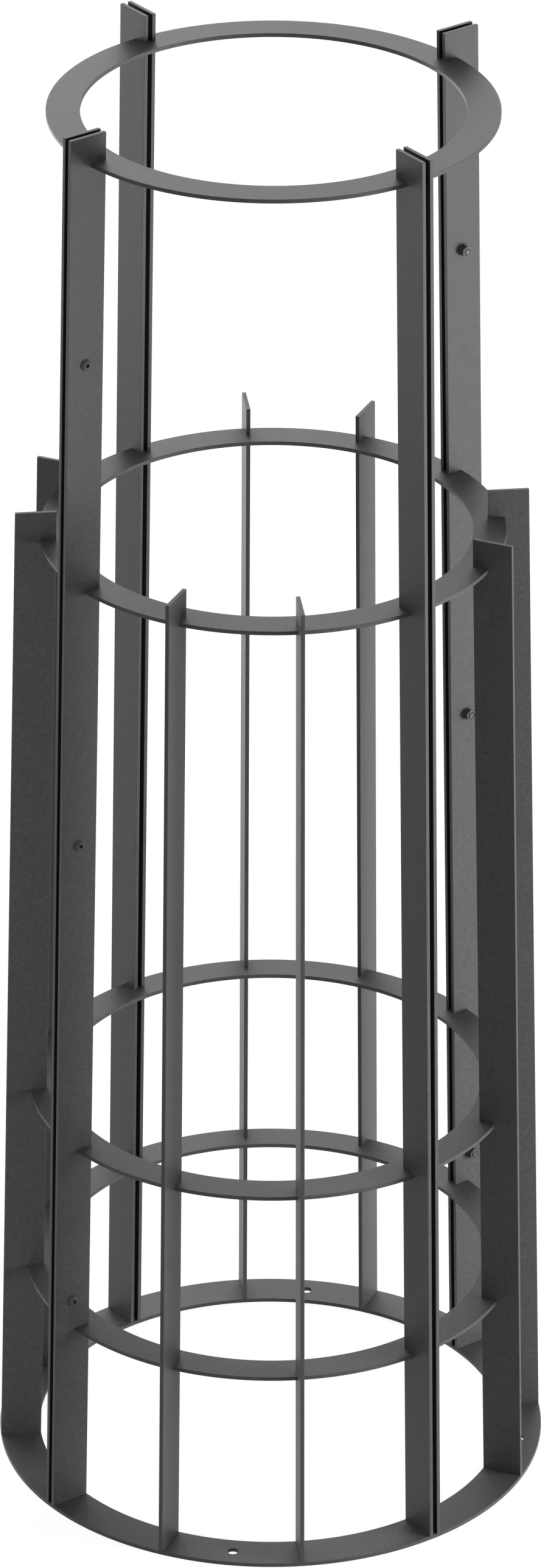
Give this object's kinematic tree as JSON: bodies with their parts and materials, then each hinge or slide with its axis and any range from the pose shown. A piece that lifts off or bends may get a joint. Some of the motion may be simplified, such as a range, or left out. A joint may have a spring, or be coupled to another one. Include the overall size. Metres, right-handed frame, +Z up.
{
  "type": "tree guard",
  "caption": "Round tree guard of flat steel bars that lean inwards, held by flat hoops on a flat base ring and made in halves that screw together round a trunk.",
  "frame": {"origin": "on the ground, at the middle of the base ring", "axes": "+Z up along the guard; the posts of double bars stand half way between the X and Y axes, and the halves part on the line from -X -Y to +X +Y"},
  "size_m": [0.682, 0.682, 1.83],
  "materials": {
    "grey_powder_coat": "dark grey powder coat, fine grained and matt",
    "coated_fastener": "dark grey coated steel, satin",
    "bare_spacer": "zinc plated steel, satin"
  },
  "bodies": {
    "root": {"right_base_half_ring": "grey_powder_coat", "right_lower_half_hoop": "grey_powder_coat", "right_knee_half_hoop": "grey_powder_coat", "right_chest_half_hoop": "grey_powder_coat", "right_top_half_hoop": "grey_powder_coat", "left_base_half_ring": "grey_powder_coat", "left_lower_half_hoop": "grey_powder_coat", "left_knee_half_hoop": "grey_powder_coat", "left_chest_half_hoop": "grey_powder_coat", "left_top_half_hoop": "grey_powder_coat", "front_left_tall_bar_of_right_half": "grey_powder_coat", "front_left_tall_bar_of_left_half": "grey_powder_coat", "front_right_tall_bar_first": "grey_powder_coat", "front_right_tall_bar_second": "grey_powder_coat", "back_right_tall_bar_of_right_half": "grey_powder_coat", "back_right_tall_bar_of_left_half": "grey_powder_coat", "back_left_tall_bar_first": "grey_powder_coat", "back_left_tall_bar_second": "grey_powder_coat", "short_bar_at_15_degrees": "grey_powder_coat", "short_bar_at_75_degrees": "grey_powder_coat", "short_bar_at_105_degrees": "grey_powder_coat", "short_bar_at_165_degrees": "grey_powder_coat", "short_bar_at_195_degrees": "grey_powder_coat", "short_bar_at_255_degrees": "grey_powder_coat", "short_bar_at_285_degrees": "grey_powder_coat", "short_bar_at_345_degrees": "grey_powder_coat", "front_left_low_screw": "coated_fastener", "front_left_middle_screw": "coated_fastener", "front_left_high_screw": "coated_fastener", "back_right_low_screw": "coated_fastener", "back_right_middle_screw": "coated_fastener", "back_right_high_screw": "coated_fastener", "front_left_low_nut": "coated_fastener", "front_left_middle_nut": "coated_fastener", "front_left_high_nut": "coated_fastener", "back_right_low_nut": "coated_fastener", "back_right_middle_nut": "coated_fastener", "back_right_high_nut": "coated_fastener", "front_left_low_washer": "coated_fastener", "front_left_middle_washer": "coated_fastener", "front_left_high_washer": "coated_fastener", "back_right_low_washer": "coated_fastener", "back_right_middle_washer": "coated_fastener", "back_right_high_washer": "coated_fastener", "front_left_low_spacer": "bare_spacer", "front_left_middle_spacer": "bare_spacer", "front_left_high_spacer": "bare_spacer", "back_right_low_spacer": "bare_spacer", "back_right_middle_spacer": "bare_spacer", "back_right_high_spacer": "bare_spacer"}
  },
  "joints": []
}
